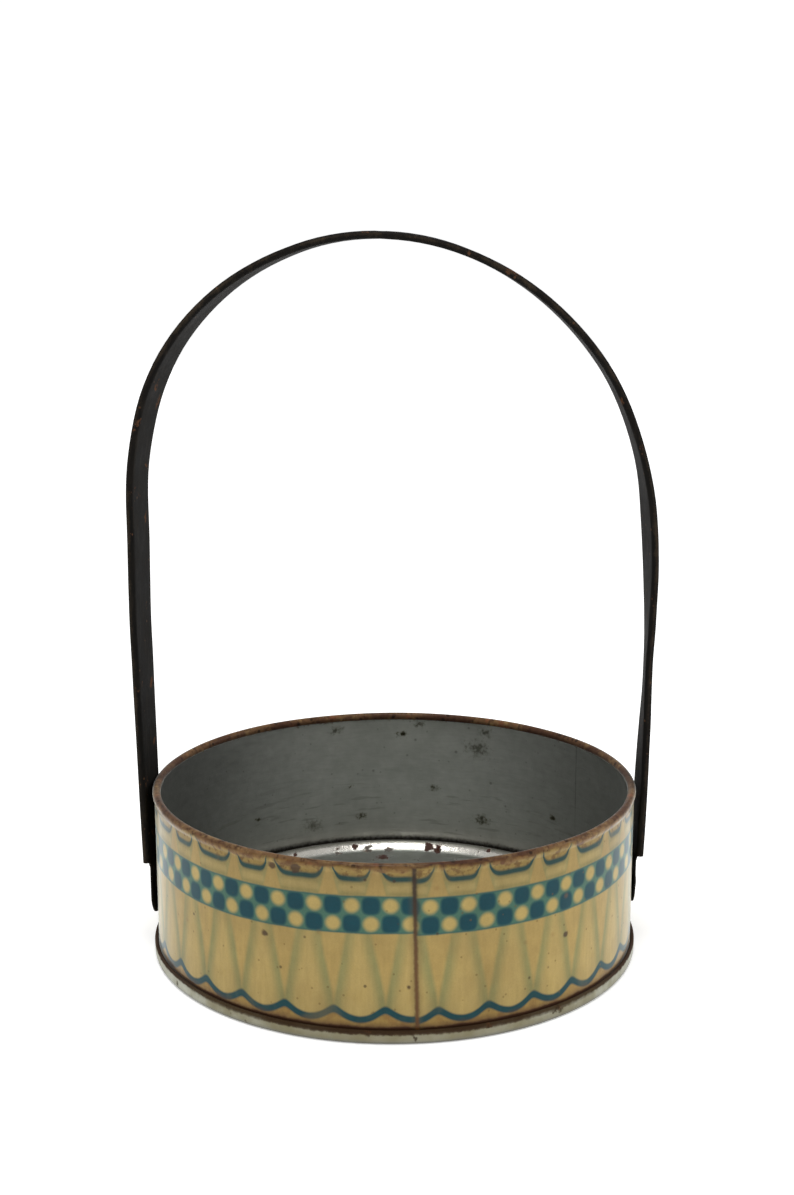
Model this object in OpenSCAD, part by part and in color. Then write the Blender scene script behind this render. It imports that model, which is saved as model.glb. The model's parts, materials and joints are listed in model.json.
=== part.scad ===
// Round tinplate basket: a printed wall with a curled rim, a double-seamed base and a folded strap handle.
// Millimetres, +Z up. The origin is the middle of the ring that the basket stands on.
// The X axis runs through the two rivets, and the handle swings about them.

/* [Wall] */
// Outer radius of the upright wall
wall_r = 53.6; // [44:0.1:66]
// Height from the table to the top of the curled rim
wall_h = 38; // [30:0.5:60]
// Thickness of the tinplate in the wall and the base
tin_t = 0.28; // [0.22:0.01:0.34]
// Diameter of the hollow curl along the rim
rim_d = 1.8; // [1.5:0.1:2.6]
// How far the curl stands out past the wall
rim_proud = 0.4; // [0.1:0.05:0.6]
// How far round its circle the curl is rolled, in degrees
rim_curl = 255; // [180:5:260]

/* [Side seam] */
// Where the side seam is, in degrees from the -Y side towards +X
seam_at = 4.5; // [-60:0.5:60]
// Width of the flattened fold inside the wall
seam_w = 3.6; // [2.5:0.1:6]
// Layers of tinplate that the fold adds to the wall
seam_layers = 3; // [1:1:3]

/* [Base] */
// Height of the double seam that the basket stands on
foot_h = 2.9; // [2.4:0.1:4]
// Height of the flat panel's middle plane above the table
panel_z = 2.75; // [1.6:0.05:4]
// Rise of the stiffening bead above the panel
bead_rise = 1.2; // [0.5:0.1:2]
// Width of the bead's slope on its inner side
bead_slope_w = 3.4; // [2:0.1:6]
// Width of the bead's shoulder, from its crest to the wall
bead_shoulder_w = 3.2; // [2:0.1:6]
// Depth of the flat worn on the ring that the basket stands on
foot_flat = 0.04; // [0.02:0.01:0.1]

/* [Handle] */
// Height from the table to the top of the handle
handle_h = 159.2; // [130:0.5:200]
// Width of the folded strap
strap_w = 11.5; // [9:0.1:14]
// Thickness of the folded strap over both layers
strap_fold_t = 1.6; // [1.2:0.1:2.4]
// Thickness of the sheet that the strap is folded from
strap_t = 0.35; // [0.25:0.01:0.45]
// Gap between the two folded lips on the outer side
lip_gap = 3; // [1.5:0.1:5]
// Outward lean of each leg, in degrees
leg_lean = 1.5; // [0.5:0.1:3]
// Height of the pivot above the table
pivot_z = 13.5; // [12:0.1:18]
// Distance from the pivot up to the square-cut end of the folds
fold_start = 7; // [4.6:0.1:8]
// Width of the flat tab at each end of the strap
tab_w = 10; // [8:0.1:11]
// Distance from the pivot down to the tab's rounded end
tab_drop = 6; // [5.6:0.1:7]
// Length of the offset bend between tab and strap
joggle_h = 1.4; // [1:0.1:2]

/* [Rivets] */
// Diameter of the rivet's shank
shank_d = 2.5; // [2:0.1:3]
// Diameter of the domed head outside
head_d = 5; // [4:0.1:6]
// Height of the domed head
head_h = 0.7; // [0.5:0.1:1.2]
// Diameter of the clinched end inside the wall
clinch_d = 4; // [3.4:0.1:5]
// Height of the clinched end
clinch_h = 0.8; // [0.5:0.1:1.2]

/* [Fits] */
// Gap left between pressed layers of tinplate
layer_gap = 0.02; // [0.01:0.01:0.04]
// Gap between the wall and the tab that swings on it
tab_gap = 0.2; // [0.1:0.05:0.4]
// Least gap between the strap and the rim
strap_gap = 0.2; // [0.15:0.05:0.5]
// Radial clearance of the tab's hole on the shank
pivot_fit = 0.05; // [0.02:0.01:0.08]
// Radial clearance of the wall's hole on the shank
rivet_fit = 0.02; // [0.01:0.01:0.04]
// Gap under the rivet's head and under its clinched end
head_gap = 0.05; // [0.03:0.01:0.1]

/* [Hidden] */

// Segments on a round: any number above 12 gives a true curve
round_fn = 96;
// Degrees turned between points along a folded sheet
bend_step = 15;
// Overlap that joins two shapes of one sheet
joint_lap = 1.5;
// How far inside the strap's web the tab's tongue runs
tongue_inset = 0.04;

// The double seam: five layers of sheet side by side, folded about one middle line.
// From the inside out they are base, wall, base hook, wall hook and base again.
layer_pitch = tin_t + layer_gap;
wall_mid_r = wall_r - tin_t / 2;
fold_r = wall_mid_r + layer_pitch;
foot_turn_r = 2 * layer_pitch;
foot_turn_z = foot_turn_r + tin_t / 2 - foot_flat;
foot_top_z = foot_h - layer_pitch - tin_t / 2;
base_side_r = fold_r - foot_turn_r;
hook_clear = 0.3;

// The curled rim
curl_mid_r = rim_d / 2 - tin_t / 2;
curl_r = wall_r + rim_proud - rim_d / 2;
curl_z = wall_h - rim_d / 2;
rim_step_h = 1.3;
rim_r = wall_r + rim_proud;

// The base's stiffening bead
bead_crest_r = base_side_r - bead_shoulder_w;
bead_crest_z = panel_z + bead_rise;
shoulder_foot_z = (foot_turn_z + panel_z) / 2;

// The side seam's fold stops short of the base and the rim, where it is pressed to a plain lap
fold_above_bead = 1;
fold_below_rim = 0.6;
seam_low = bead_crest_z + fold_above_bead;
seam_high = curl_z - rim_step_h - fold_below_rim;

// The handle: two leaning legs that run on into one arch
fold_z = pivot_z + fold_start;
tab_in = wall_r + tab_gap;
strap_in = rim_r + strap_gap;
arch_in = (strap_in + tan(leg_lean) * (handle_h - strap_fold_t - fold_z))
    / (cos(leg_lean) + tan(leg_lean) * (1 + sin(leg_lean)));
arch_z = handle_h - strap_fold_t - arch_in;
leg_l = (arch_z - arch_in * sin(leg_lean) - fold_z) / cos(leg_lean);

// The rivets
clinch_at = sqrt(pow(wall_r - tin_t, 2) - pow(clinch_d / 2, 2)) - head_gap;
head_at = tab_in + strap_t + head_gap;

// Points along an arc, from one angle to another
function bend(centre, r, from, to) =
    let (n = ceil(abs(to - from) / bend_step))
    [for (i = [0:n]) let (a = from + (to - from) * i / n) centre + r * [cos(a), sin(a)]];

// A vector at length 1, and a vector turned a quarter of the way round
function unit(v) = v / norm(v);
function turned(v) = [-v.y, v.x];

// The side that a path turns to at point i, as the vector that halves the corner, lengthened for a mitre
function mitre(p, i) =
    let (
        last = len(p) - 1,
        before = turned(unit(i == 0 ? p[1] - p[0] : p[i] - p[i - 1])),
        after = turned(unit(i == last ? p[last] - p[last - 1] : p[i + 1] - p[i])),
        half = unit(before + after)
    )
    half / (half * after);

// Outline of a sheet of thickness t that follows the path p along its middle
function sheet(p, t) = concat(
    [for (i = [0:len(p) - 1]) p[i] + mitre(p, i) * t / 2],
    [for (i = [len(p) - 1:-1:0]) p[i] - mitre(p, i) * t / 2]
);

// The wall's sheet in section, from its hook in the base seam up to the end of the rim's curl
function wall_path() = concat(
    [[fold_r + layer_pitch, foot_top_z - hook_clear]],
    bend([fold_r, foot_turn_z], layer_pitch, 0, -180),
    [for (i = [0:6])
        let (s = i / 6)
        [wall_mid_r + rim_proud * (1 - cos(180 * s)) / 2, curl_z - rim_step_h * (1 - s)]],
    bend([curl_r, curl_z], curl_mid_r, bend_step, rim_curl)
);

// The base's sheet in section, from the bead's inner foot out and round the wall's hook
function base_path() = concat(
    [[0, panel_z]],
    [for (i = [0:8])
        let (s = i / 8)
        [bead_crest_r - bead_slope_w * (1 - s), panel_z + bead_rise * (1 - cos(180 * s)) / 2]],
    [for (a = [15:15:90])
        [bead_crest_r + bead_shoulder_w * sin(a),
         shoulder_foot_z + (bead_crest_z - shoulder_foot_z) * cos(a)]],
    bend([fold_r, foot_turn_z], foot_turn_r, -180, 0),
    bend([fold_r + layer_pitch, foot_top_z], layer_pitch, 0, 180),
    [[fold_r, foot_turn_z + hook_clear]]
);

// A rivet's domed end, flat side down on z = 0
module dome(d, h) {
    ball_r = (pow(d / 2, 2) + h * h) / (2 * h);
    intersection() {
        translate([0, 0, h - ball_r]) sphere(r = ball_r, $fn = round_fn);
        translate([-d, -d, 0]) cube([2 * d, 2 * d, 2 * h]);
    }
}

// A round bar along the X axis at the height of the pivot, long enough to pass through both sides
module pivot_bore(r) {
    translate([0, 0, pivot_z]) rotate([0, 90, 0])
        cylinder(h = 4 * wall_r, r = r, center = true, $fn = round_fn);
}

// The printed wall: one sheet with its rim curl and its half of the base seam
module body_wall() {
    color("#b39c62")
    difference() {
        union() {
            rotate_extrude($fn = round_fn) polygon(sheet(wall_path(), tin_t));
            side_seam();
        }
        pivot_bore(shank_d / 2 + rivet_fit);
    }
}

// The flattened fold of the side seam, standing inside the wall
module side_seam() {
    intersection() {
        rotate_extrude($fn = round_fn)
            translate([wall_r - tin_t * (1 + seam_layers), seam_low])
                square([tin_t * (seam_layers + 0.5), seam_high - seam_low]);
        rotate([0, 0, seam_at - 90])
            translate([wall_r / 2, -seam_w / 2, 0]) cube([wall_r, seam_w, wall_h]);
    }
}

// The stamped base: one sheet with its stiffening bead and its half of the base seam
module base_pan() {
    color("#a7a9a4")
    rotate_extrude($fn = round_fn)
        difference() {
            polygon(sheet(base_path(), tin_t));
            translate([0, -tin_t]) square([2 * wall_r, tin_t]);
        }
}

// A flat bar's section with fully round edges. The first length runs through its thickness.
module round_edged(thick, wide) {
    square([thick, wide - thick], center = true);
    for (side = [-1, 1])
        translate([0, side * (wide - thick) / 2]) circle(d = thick, $fn = round_fn);
}

// The strap in section: its web is on the inner side of the arch and its two lips meet across a gap outside
module strap_section() {
    translate([arch_in + strap_fold_t / 2, 0])
        difference() {
            round_edged(strap_fold_t, strap_w);
            round_edged(strap_fold_t - 2 * strap_t, strap_w - 2 * strap_t);
            translate([0, -lip_gap / 2]) square([strap_fold_t, lip_gap]);
        }
}

// One flat tab: the strap's web carried down past the end of the folds, offset to lie close to the wall
module tab() {
    low = pivot_z - tab_drop;
    tongue_x = strap_in + tongue_inset;
    tongue_t = strap_t - 2 * tongue_inset;
    lean = tan(leg_lean);
    intersection() {
        rotate([90, 0, 0])
            linear_extrude(height = 2 * tab_w, center = true)
                polygon([
                    [tab_in, low - 1],
                    [tab_in, fold_z - joggle_h],
                    [tongue_x, fold_z],
                    [tongue_x + lean * joint_lap, fold_z + joint_lap],
                    [tongue_x + tongue_t + lean * joint_lap, fold_z + joint_lap],
                    [tongue_x + tongue_t, fold_z],
                    [tab_in + strap_t, fold_z - joggle_h],
                    [tab_in + strap_t, low - 1]
                ]);
        translate([wall_r / 2, 0, 0]) rotate([90, 0, 90])
            linear_extrude(height = wall_r) {
                translate([0, low + tab_w / 2]) circle(d = tab_w, $fn = round_fn);
                translate([-tab_w / 2, low + tab_w / 2])
                    square([tab_w, fold_z + 2 * joint_lap - low - tab_w / 2]);
            }
    }
}

// One leg of the strap, from the arch down to the end of the folds, with its tab
module leg() {
    translate([0, 0, arch_z]) rotate([0, leg_lean, 0]) translate([0, 0, -leg_l])
        linear_extrude(height = leg_l) strap_section();
    tab();
}

// The handle: one folded strap, bent to an arch between two leaning legs
module handle_strap() {
    color("#26241f")
    difference() {
        union() {
            translate([0, 0, arch_z]) rotate([0, leg_lean, 0]) rotate([90, 0, 0])
                rotate_extrude(angle = 180 + 2 * leg_lean, $fn = round_fn) strap_section();
            leg();
            mirror([1, 0, 0]) leg();
        }
        pivot_bore(shank_d / 2 + pivot_fit);
    }
}

// One rivet, on the +X side: a domed head outside the tab and a clinched end inside the wall
module rivet() {
    color("#2c2a26")
    translate([0, 0, pivot_z]) rotate([0, 90, 0]) {
        translate([0, 0, head_at]) dome(head_d, head_h);
        translate([0, 0, clinch_at]) mirror([0, 0, 1]) dome(clinch_d, clinch_h);
        translate([0, 0, clinch_at - clinch_h / 2])
            cylinder(h = head_at - clinch_at + (clinch_h + head_h) / 2, d = shank_d, $fn = round_fn);
    }
}

module rivet_right() {
    rivet();
}

module rivet_left() {
    mirror([1, 0, 0]) rivet();
}

body_wall();
base_pan();
handle_strap();
rivet_left();
rivet_right();
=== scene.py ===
# A small round basket of printed tinplate, with a base seamed on and a tall handle of painted tin strap.
# The sections follow the way it is put together: the wall, the base seamed to it, the strap, the rivets.
# Lengths are in metres. The fixed frame gives the overall sizes, and each section gives its own details.
import json
import math

import bmesh
import bpy
import numpy as np
from mathutils import Matrix, Vector, noise


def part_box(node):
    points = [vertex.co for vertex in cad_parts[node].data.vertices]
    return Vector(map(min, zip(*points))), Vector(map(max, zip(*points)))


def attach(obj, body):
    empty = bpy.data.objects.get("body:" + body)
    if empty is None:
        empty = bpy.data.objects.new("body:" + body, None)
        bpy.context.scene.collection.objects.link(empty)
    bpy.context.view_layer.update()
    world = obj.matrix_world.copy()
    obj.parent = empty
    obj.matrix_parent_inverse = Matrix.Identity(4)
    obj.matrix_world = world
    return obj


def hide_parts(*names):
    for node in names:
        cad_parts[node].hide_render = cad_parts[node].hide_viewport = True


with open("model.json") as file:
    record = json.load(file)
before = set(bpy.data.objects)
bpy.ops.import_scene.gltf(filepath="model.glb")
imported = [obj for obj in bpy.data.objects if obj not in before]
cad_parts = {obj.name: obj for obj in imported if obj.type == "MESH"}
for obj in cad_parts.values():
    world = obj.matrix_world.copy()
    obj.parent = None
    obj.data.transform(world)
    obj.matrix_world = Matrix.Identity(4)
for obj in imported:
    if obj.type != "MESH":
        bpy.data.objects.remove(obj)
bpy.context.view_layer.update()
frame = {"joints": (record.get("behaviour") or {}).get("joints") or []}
mm = 0.001

# ----------------------------------------------------------------------------------------------------
# The printed wall
# One strip of tinplate, printed flat, then rolled to a ring. Its ends are hooked together and pressed flat
# in a side seam, its top edge is curled inward to a hollow bead, its foot is turned out and up as a hook.

tin = 0.28 * mm
layer = tin + 0.02 * mm
seam_turns = 4.4 / 360
wall_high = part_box("body_wall")[1]
rim_radius = wall_high.x
rim_proud = 0.4 * mm
bead_half = 0.9 * mm
wall_radius = rim_radius - rim_proud - tin / 2
curl_radius = bead_half - tin / 2
curl_centre = Vector((rim_radius - bead_half, wall_high.z - bead_half))
curl_start = 12
curl_end = 255
fold_radius = wall_radius + layer
turn_z = 2 * layer + tin / 2
wall_hook_top = 2.15 * mm


def arc(centre, radius, start, stop, step=15):
    """Points along an arc in a section, turned through the given degrees."""
    count = max(2, round(abs(stop - start) / step))
    turns = [math.radians(start + (stop - start) * i / count) for i in range(count + 1)]
    return [Vector((centre[0] + radius * math.cos(t), centre[1] + radius * math.sin(t))) for t in turns]


def line(start, stop, count):
    """Evenly spaced points from start towards stop, without the last one."""
    return [Vector(start).lerp(Vector(stop), i / count) for i in range(count)]


def ease(x):
    """A smooth rise from 0 at x = 0 to 1 at x = 1."""
    x = min(1.0, max(0.0, x))
    return x * x * (3 - 2 * x)


def along(points):
    """How far along a section each of its points lies, in metres."""
    return list(np.cumsum([0.0] + [(b - a).length for a, b in zip(points, points[1:])]))


weld_gap = 1e-7
crisp_angle = math.radians(38)


def sheet_piece(name, patches, thick, finishes, back):
    """Makes a piece of sheet metal from the points on its middle surface, then gives it its thickness.

    A patch is (rows, closed, finish). A row is one step round or along the sheet, and has (x, y, z, u, v)
    for each point across it, or None where the sheet is cut away. The far side has the finish that is
    back places on."""
    mesh = bmesh.new()
    sheet_map = mesh.loops.layers.uv.new("sheet")
    for rows, closed, finish in patches:
        spots = [[mesh.verts.new(p[:3]) if p else None for p in row] for row in rows]
        for i in range(len(rows) if closed else len(rows) - 1):
            j = (i + 1) % len(rows)
            for k in range(len(rows[i]) - 1):
                corners = [(i, k), (j, k), (j, k + 1), (i, k + 1)]
                places = [spots[a][b] for a, b in corners]
                if None in places:
                    continue
                face = mesh.faces.new(places)
                face.smooth = True
                face.material_index = finish
                for loop, (a, b) in zip(face.loops, corners):
                    u, v = rows[a][b][3:]
                    loop[sheet_map].uv = (u + (1 if closed and j == 0 and a == 0 else 0), v)
    bmesh.ops.remove_doubles(mesh, verts=mesh.verts, dist=weld_gap)
    data = bpy.data.meshes.new(name)
    mesh.to_mesh(data)
    mesh.free()
    for finish in finishes:
        data.materials.append(finish)
    piece = bpy.data.objects.new(name, data)
    bpy.context.scene.collection.objects.link(piece)
    skin = piece.modifiers.new("thickness", "SOLIDIFY")
    skin.thickness = thick
    skin.offset = 0
    skin.material_offset = back
    skin.material_offset_rim = back
    skin.use_even_offset = True
    return piece


def fix_shape(piece):
    """Turns a piece's modifiers into its own mesh, with crisp edges where the sheet is cut."""
    depsgraph = bpy.context.evaluated_depsgraph_get()
    made = bpy.data.meshes.new_from_object(piece.evaluated_get(depsgraph))
    piece.modifiers.clear()
    old = piece.data
    piece.data = made
    bpy.data.meshes.remove(old)
    made.name = piece.name
    made.set_sharp_from_angle(angle=crisp_angle)


pivot_z = frame["joints"][0]["pos_m"][2]
punch_length = 0.13
punch_sides = 40


def drill(piece, radius):
    """Punches the rivet's hole through a piece, on both sides of the basket at once."""
    mesh = bmesh.new()
    turned = Matrix.Translation((0, 0, pivot_z)) @ Matrix.Rotation(math.pi / 2, 4, "Y")
    bmesh.ops.create_cone(
        mesh,
        cap_ends=True,
        segments=punch_sides,
        radius1=radius,
        radius2=radius,
        depth=punch_length,
        matrix=turned,
    )
    data = bpy.data.meshes.new("punch")
    mesh.to_mesh(data)
    mesh.free()
    punch = bpy.data.objects.new("punch", data)
    bpy.context.scene.collection.objects.link(punch)
    cut = piece.modifiers.new("hole", "BOOLEAN")
    cut.operation = "DIFFERENCE"
    cut.solver = "EXACT"
    cut.object = punch
    fix_shape(piece)
    bpy.data.objects.remove(punch)


class Field:
    """A value that changes over a surface. Arithmetic on it adds the matching shader nodes."""

    def __init__(self, socket):
        self.socket = socket
        self.tree = socket.id_data

    def node(self, kind, **settings):
        made = self.tree.nodes.new(kind)
        for setting, value in settings.items():
            setattr(made, setting, value)
        return made

    def feed(self, socket, value):
        if isinstance(value, Field):
            self.tree.links.new(value.socket, socket)
        else:
            socket.default_value = value

    def math(self, operation, *others):
        made = self.node("ShaderNodeMath", operation=operation)
        for socket, value in zip(made.inputs, (self, *others)):
            self.feed(socket, value)
        return Field(made.outputs[0])

    def __add__(self, other):
        return self.math("ADD", other)

    def __sub__(self, other):
        return self.math("SUBTRACT", other)

    def __rsub__(self, other):
        return (self * -1.0) + other

    def __mul__(self, other):
        return self.math("MULTIPLY", other)

    def __truediv__(self, other):
        return self.math("DIVIDE", other)

    def __pow__(self, other):
        return self.math("POWER", other)

    def __abs__(self):
        return self.math("ABSOLUTE")

    def swing(self):
        """The sine of an angle in degrees."""
        return (self * (math.pi / 180)).math("SINE")

    def cell(self, pitch, centre=0.0):
        """Signed distance from the nearest of a row of centres that stand a pitch apart."""
        return (((self - centre) / pitch + 0.5).math("FRACT") - 0.5) * pitch

    def above(self, edge, soft):
        """0 below an edge and 1 above it, over a soft width."""
        made = self.node("ShaderNodeMapRange", interpolation_type="SMOOTHSTEP")
        self.feed(made.inputs["Value"], self)
        made.inputs["From Min"].default_value = edge - soft
        made.inputs["From Max"].default_value = edge + soft
        return Field(made.outputs["Result"])

    def below(self, edge, soft):
        return 1.0 - self.above(edge, soft)

    def between(self, low, high, soft):
        return self.above(low, soft) * self.below(high, soft)

    def over(self, mask, colour):
        """This colour with another laid over it where the mask says."""
        made = self.node("ShaderNodeMix", data_type="RGBA")
        share, under, upper = (made.inputs[i] for i in (0, 6, 7))
        self.feed(share, mask)
        self.feed(under, self)
        self.feed(upper, colour)
        return Field(made.outputs[2])

    def shade(self, amount):
        """This colour made lighter or darker by a grey amount."""
        made = self.node("ShaderNodeVectorMath", operation="SCALE")
        self.feed(made.inputs[0], self)
        self.feed(made.inputs["Scale"], amount)
        return Field(made.outputs[0])


def ink(red, green, blue):
    """A colour given on a 0 to 255 scale, as the light it gives back."""
    parts = [c / 255 for c in (red, green, blue)]
    return (*[p / 12.92 if p <= 0.04045 else ((p + 0.055) / 1.055) ** 2.4 for p in parts], 1.0)


class Finish:
    """A material with its shader, and the ways of reading where a point of the surface is."""

    def __init__(self, name):
        self.material = bpy.data.materials.new(name)
        self.material.use_nodes = True
        self.tree = self.material.node_tree
        self.shader = self.tree.nodes["Principled BSDF"]
        place = self.tree.nodes.new("ShaderNodeTexCoord")
        self.place = place.outputs["Object"]
        split = self.tree.nodes.new("ShaderNodeSeparateXYZ")
        self.tree.links.new(self.place, split.inputs[0])
        self.x, self.y, self.z = [Field(s) / mm for s in split.outputs]
        sheet = self.tree.nodes.new("ShaderNodeUVMap")
        sheet.uv_map = "sheet"
        split = self.tree.nodes.new("ShaderNodeSeparateXYZ")
        self.tree.links.new(sheet.outputs[0], split.inputs[0])
        self.u, self.v = [Field(s) for s in split.outputs[:2]]

    def colour(self, rgba):
        made = self.tree.nodes.new("ShaderNodeRGB")
        made.outputs[0].default_value = rgba
        return Field(made.outputs[0])

    def pattern(self, kind, size, seed, steps, stretch):
        """A pattern node of the given size in millimetres, moved by its seed so that no two agree."""
        shift = self.tree.nodes.new("ShaderNodeMapping")
        self.tree.links.new(self.place, shift.inputs["Vector"])
        shift.inputs["Location"].default_value = [seed * step for step in steps]
        shift.inputs["Scale"].default_value = [1 / s for s in stretch]
        made = self.tree.nodes.new(kind)
        self.tree.links.new(shift.outputs[0], made.inputs["Vector"])
        made.inputs["Scale"].default_value = 1 / (size * mm)
        return made

    def cloud(self, size, seed, detail=3.0, stretch=(1, 1, 1)):
        """Noise about 0.5, in patches of about the given size, that stretch draws out along x, y or z."""
        made = self.pattern("ShaderNodeTexNoise", size, seed, (0.0731, 0.0517, 0.0293), stretch)
        made.inputs["Detail"].default_value = detail
        made.inputs["Roughness"].default_value = 0.55
        return Field(made.outputs["Fac"])

    def specks(self, size, seed, share, soft):
        """Small spots scattered over the surface. share is how much of each cell a spot takes."""
        made = self.pattern("ShaderNodeTexVoronoi", size, seed, (0.0411, 0.0637, 0.0193), (1, 1, 1))
        return Field(made.outputs["Distance"]).below(share, soft)

    def set(self, socket, value):
        if isinstance(value, Field):
            self.tree.links.new(value.socket, self.shader.inputs[socket])
        else:
            self.shader.inputs[socket].default_value = value

    def relief(self, height, depth):
        """Bumps from a 0 to 1 height, depth in millimetres."""
        made = self.tree.nodes.new("ShaderNodeBump")
        made.inputs["Distance"].default_value = depth * mm
        self.tree.links.new(height.socket, made.inputs["Height"])
        self.tree.links.new(made.outputs[0], self.shader.inputs["Normal"])


# The wall's section: the hook at its foot, the straight side, the small step out, and the curl of the rim
straight_low = turn_z + 0.4 * mm
step_height = 1.3 * mm
step_low = curl_centre.y - step_height
step_count = 8
step_out = []
for i in range(step_count + 1):
    share = i / step_count
    step_r = wall_radius + rim_proud * (1 - math.cos(math.pi * share)) / 2
    step_out.append(Vector((step_r, step_low + step_height * share)))
wall_path = (
    line((fold_radius + layer, wall_hook_top), (fold_radius + layer, turn_z), 3)
    + arc((fold_radius, turn_z), layer, 0, -180, 20)
    + line((wall_radius, straight_low), (wall_radius, step_low), 34)
    + step_out
    + arc(curl_centre, curl_radius, curl_start, curl_end, 12)
)
wall_along = along(wall_path)
straight_start = wall_path.index(Vector((wall_radius, straight_low)))
print_offset = wall_along[straight_start] - straight_low
wall_length = wall_along[-1]
seam_lean = (-0.30, 0.80)

# Columns round the wall: one a degree, and one a fifth of a degree beside the side seam
even_columns = {i / 360 for i in range(360)}
seam_columns = {(seam_turns + d / 3600) % 1 for d in range(-40, 41, 2)}
columns = sorted(even_columns | seam_columns)
out_of_round = 0.07 * mm
wall_sway = 0.16 * mm
wall_ripple = 0.05 * mm
rim_wave = 0.10 * mm
seam_groove = 0.13 * mm
seam_lap = 0.07 * mm
lap_from = 0.06
lap_to = 0.95


def heading(turns):
    """The outward direction at a share of a turn round from the front."""
    return Vector((math.sin(turns * 2 * math.pi), -math.cos(turns * 2 * math.pi), 0))


def ring_wave(out):
    """How far the base seam's ring is out of round."""
    return out_of_round * noise.noise(out * 1.7 + Vector((3, 8, 2)))


def wall_point(turns, path_index):
    """A point on the wall's middle surface, with the unevenness of hand-fed tinware."""
    r, z = wall_path[path_index]
    out = heading(turns)
    height = z / wall_high.z
    free = ease((height - 0.1) / 0.4)
    wobble = noise.noise(out * 1.3 + Vector((7, 3, height * 0.8)))
    ripple = noise.noise(out * 5.0 + Vector((1, 9, height * 3.0)))
    r += free * (wall_sway * wobble + wall_ripple * ripple) + (1 - free) * ring_wave(out)
    lean = (seam_lean[0] + seam_lean[1] * (1 - height)) / 360
    from_seam = ((turns - seam_turns - lean + 0.5) % 1 - 0.5) * 2 * math.pi * wall_radius / mm
    groove = seam_groove * math.exp(-((from_seam / 0.28) ** 2))
    lap = seam_lap * ease((from_seam + 0.25) / 0.5) * math.exp(-max(from_seam, 0) / 4)
    if lap_from < height < lap_to:
        r += lap - groove
    if height > 0.9:
        z += rim_wave * noise.noise(out * 2.2 + Vector((4, 4, 4)))
    return (r * out.x, r * out.y, z, turns, wall_along[path_index] / wall_length)


wall_rows = [[wall_point(turns, k) for k in range(len(wall_path))] for turns in columns]

# The side seam's fold stands inside the wall: three layers of the strip, pressed flat
fold_low = 5.2 * mm
fold_high = 34.8 * mm
fold_half = 1.8 * mm
fold_inset = 0.15 * mm
fold_steps = 30
fold_track = []
for depth_at, side in ((1.02, 1), (2.06, -1), (3.10, 1)):
    for i in range(7):
        fold_track.append((side * fold_half * (1 - i / 3), depth_at * layer))
fold_rows = []
for row in range(fold_steps + 1):
    z = fold_low + (fold_high - fold_low) * row / fold_steps
    out = heading(seam_turns)
    side_way = Vector((-out.y, out.x, 0))
    points = []
    for across, depth in fold_track:
        spread = math.sqrt((wall_radius - depth) ** 2 - across * across)
        spot = out * (spread - fold_inset) + side_way * across
        points.append((spot.x, spot.y, z, seam_turns, (z + print_offset) / wall_length))
    fold_rows.append(points)

# The print on the wall's outer side, in yellowed cream, tan and teal. s is degrees round from the side seam,
# h is the height in millimetres. It repeats evenly round the wall, and sits a little low on the left.
printed = Finish("aged_print")
round_mm = 2 * math.pi * ((wall_radius + tin / 2) / mm) / 360
drift = printed.cloud(9, 1, 1.0) - 0.5
s = ((printed.u - seam_turns + 0.5).math("FRACT") - 0.5) * 360 + drift * 0.5
h = printed.v * (wall_length / mm) - print_offset / mm + (printed.cloud(7, 2, 1.0) - 0.5) * 0.35
bare_h = h
share_round = (s / 360 + 1.0).math("FRACT")
print_rise = 0.45
print_slip = 0.95
slip = (s * -1.0).between(27.0, 150.0, 30.0) * (1.0 - h * 0.0136) * print_slip
h = h + (1.0 - share_round) * print_rise + slip

# Mottled ground colours
mottle = printed.cloud(3.2, 3, 4.0)
broad = printed.cloud(22, 4, 2.0)
fine = printed.cloud(0.35, 5, 2.0)
cream = printed.colour(ink(177, 153, 93)).over(mottle.above(0.55, 0.25), ink(165, 142, 84))
tan = ink(169, 143, 83)
green = ink(130, 128, 80)
teal = ink(66, 103, 86)
dark_teal = ink(0, 60, 70)
dot_cream = ink(174, 151, 90)

# Petals: a tan wedge hangs between each two, with a green shadow on both sides
petal = 360 / 32
petal_start = -6.35
cusp = abs(s.cell(petal, petal_start)) * round_mm
petal_half = petal * round_mm / 2
wedge_tip = 9.3
wedge_slope = 2.55 / 14
strip_wide = 1.9
wedge = (h - wedge_tip) * wedge_slope
in_wedge = (wedge - cusp).above(-0.1, 0.55)
in_strip = (wedge + strip_wide - cusp).above(0.0, 1.25)
petals = cream.over(in_strip * 0.85, green).over(in_wedge, tan)
petals = petals.over(h.above(19.5, 3.5) * 0.25, ink(150, 130, 80))
petals = petals.over((h - 10.0).below(0.0, 3.5) * (1.0 - cusp / petal_half) * 0.45, ink(112, 104, 66))

# The scalloped line along the petals' feet, tan below it
rounded = (cusp ** 2.0 + 0.81).math("SQRT") - 0.5
dip = (1.0 - rounded / petal_half) ** 2.3
scallop_low = 5.0
scallop_rise = 2.5
scallop_half = 0.74
scallop = (h - (dip * scallop_rise + scallop_low)) / (dip * 0.2 + 1.0)
foot_tan = printed.colour(ink(150, 122, 64)).over(mottle.above(0.55, 0.1), ink(132, 102, 53))
picture = petals.over(scallop.below(-0.1, 0.3), foot_tan)
picture = picture.over(abs(scallop).below(scallop_half, 0.30), ink(6, 60, 66))

# The checkered band: cream dots and dark squares in two rows
check_pitch = 360 / 44
check_start = -5.1
dot_radius = 1.47
square_wide = 1.80
square_high = 1.88
square_power = 3.2
half_pitch = check_pitch * round_mm / 2
from_dot = abs((s - s.swing() * 0.87).cell(check_pitch, check_start)) * round_mm
from_square = half_pitch - from_dot


def dot(across, row_z):
    return (across ** 2.0 + (h - row_z) ** 2.0).math("SQRT").below(dot_radius, 0.55)


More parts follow.
